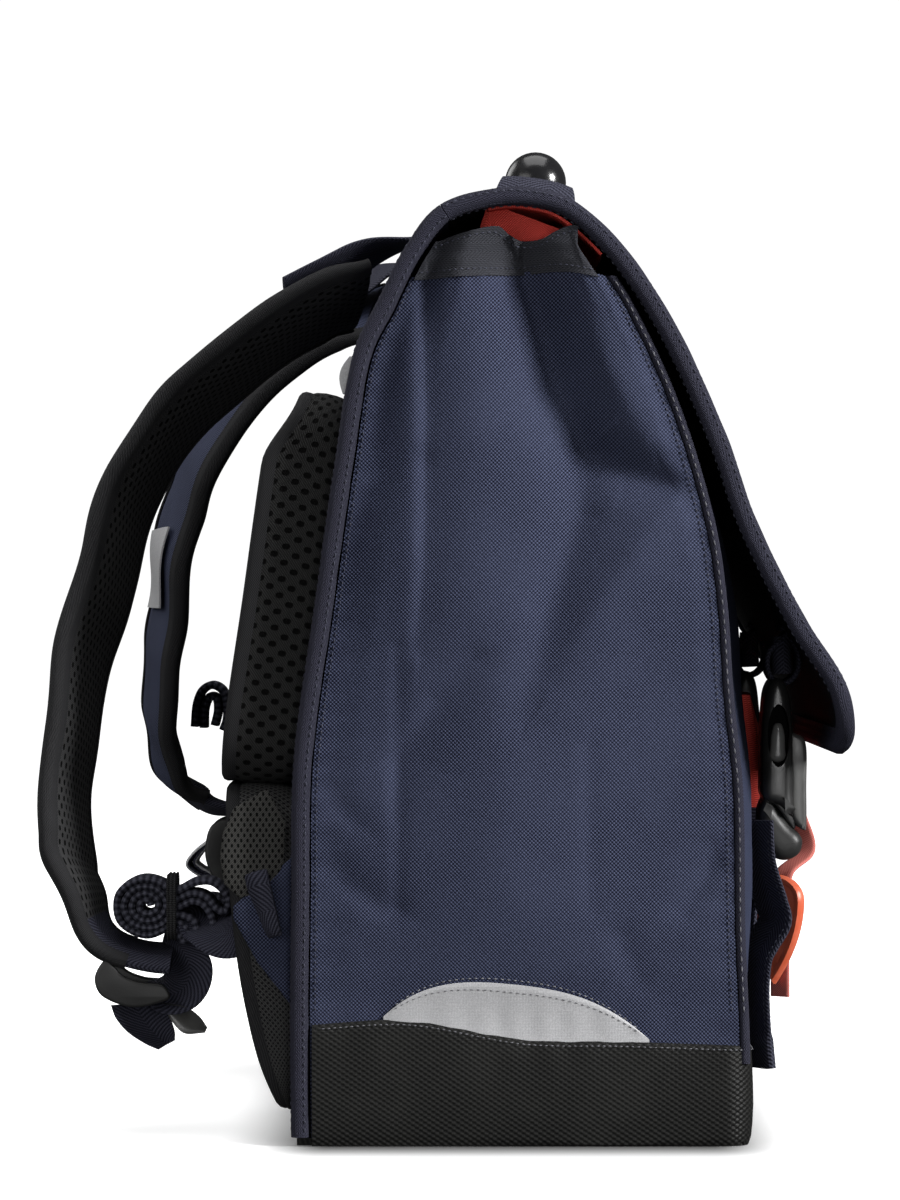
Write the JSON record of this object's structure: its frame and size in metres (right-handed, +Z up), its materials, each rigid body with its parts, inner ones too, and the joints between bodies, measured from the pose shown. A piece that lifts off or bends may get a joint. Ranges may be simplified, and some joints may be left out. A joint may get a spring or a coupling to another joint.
{
  "type": "school satchel backpack",
  "caption": "Boxy child's school satchel worn as a backpack: wide lid with snap buckles, coated base, padded mesh back, padded shoulder straps and a top grip.",
  "frame": {"origin": "middle of the underside of the base, on the floor", "axes": "+Z up; +Y towards the worn side with the pads and straps, -Y towards the lid's buckles; +X across, towards the wearer's right"},
  "size_m": [0.3862, 0.3019, 0.3747],
  "materials": {
    "navy_cloth": "woven polyester, matt",
    "dark_tape": "ribbed binding tape",
    "webbing": "flat woven webbing",
    "coral_lining": "plain lining cloth",
    "coated_cloth": "coated, fine embossed texture",
    "reflective_cloth": "grey retroreflective cloth",
    "air_mesh": "open spacer mesh",
    "black_plastic": "moulded, satin",
    "orange_puller": "soft moulded plastic",
    "pink_ribbon": "woven ribbon",
    "elastic_band": "ribbed elastic"
  },
  "bodies": {
    "root": {"back_panel": "navy_cloth", "lid": "navy_cloth", "lid_binding": "dark_tape", "lid_facing": "coral_lining", "front_panel": "navy_cloth", "base": "coated_cloth", "pocket_lower": "navy_cloth", "pocket_zip": "dark_tape", "pocket_upper": "coral_lining", "zip_slider": "black_plastic", "pull_ribbon": "pink_ribbon", "puller": "orange_puller", "grip": "black_plastic", "side_panel_left": "navy_cloth", "side_panel_right": "navy_cloth", "top_band_left": "webbing", "top_band_right": "webbing", "back_binding_left": "dark_tape", "back_binding_right": "dark_tape", "front_tape_left": "dark_tape", "front_tape_right": "dark_tape", "moon_left": "reflective_cloth", "moon_right": "reflective_cloth", "upper_pad_left": "air_mesh", "upper_pad_right": "air_mesh", "lower_pad_left": "air_mesh", "lower_pad_right": "air_mesh", "anchor_left": "navy_cloth", "anchor_right": "navy_cloth", "wing_left": "air_mesh", "wing_right": "air_mesh", "strap_left": "air_mesh", "strap_right": "air_mesh", "strap_load_left": "navy_cloth", "strap_load_right": "navy_cloth", "strap_patch_left": "reflective_cloth", "strap_patch_right": "reflective_cloth", "strap_webbing_left": "webbing", "strap_webbing_right": "webbing", "adjuster_left": "black_plastic", "adjuster_right": "black_plastic", "pull_tab_left": "webbing", "pull_tab_right": "webbing", "webbing_roll_left": "webbing", "webbing_roll_right": "webbing", "roll_band_left": "elastic_band", "roll_band_right": "elastic_band", "handle_tab_left": "webbing", "handle_tab_right": "webbing", "buckle_housing_left": "black_plastic", "buckle_housing_right": "black_plastic", "buckle_catch_left": "black_plastic", "buckle_catch_right": "black_plastic", "buckle_hanger_left": "webbing", "buckle_hanger_right": "webbing", "buckle_strap_left": "webbing", "buckle_strap_right": "webbing", "buckle_tail_left": "webbing", "buckle_tail_right": "webbing"}
  },
  "joints": []
}
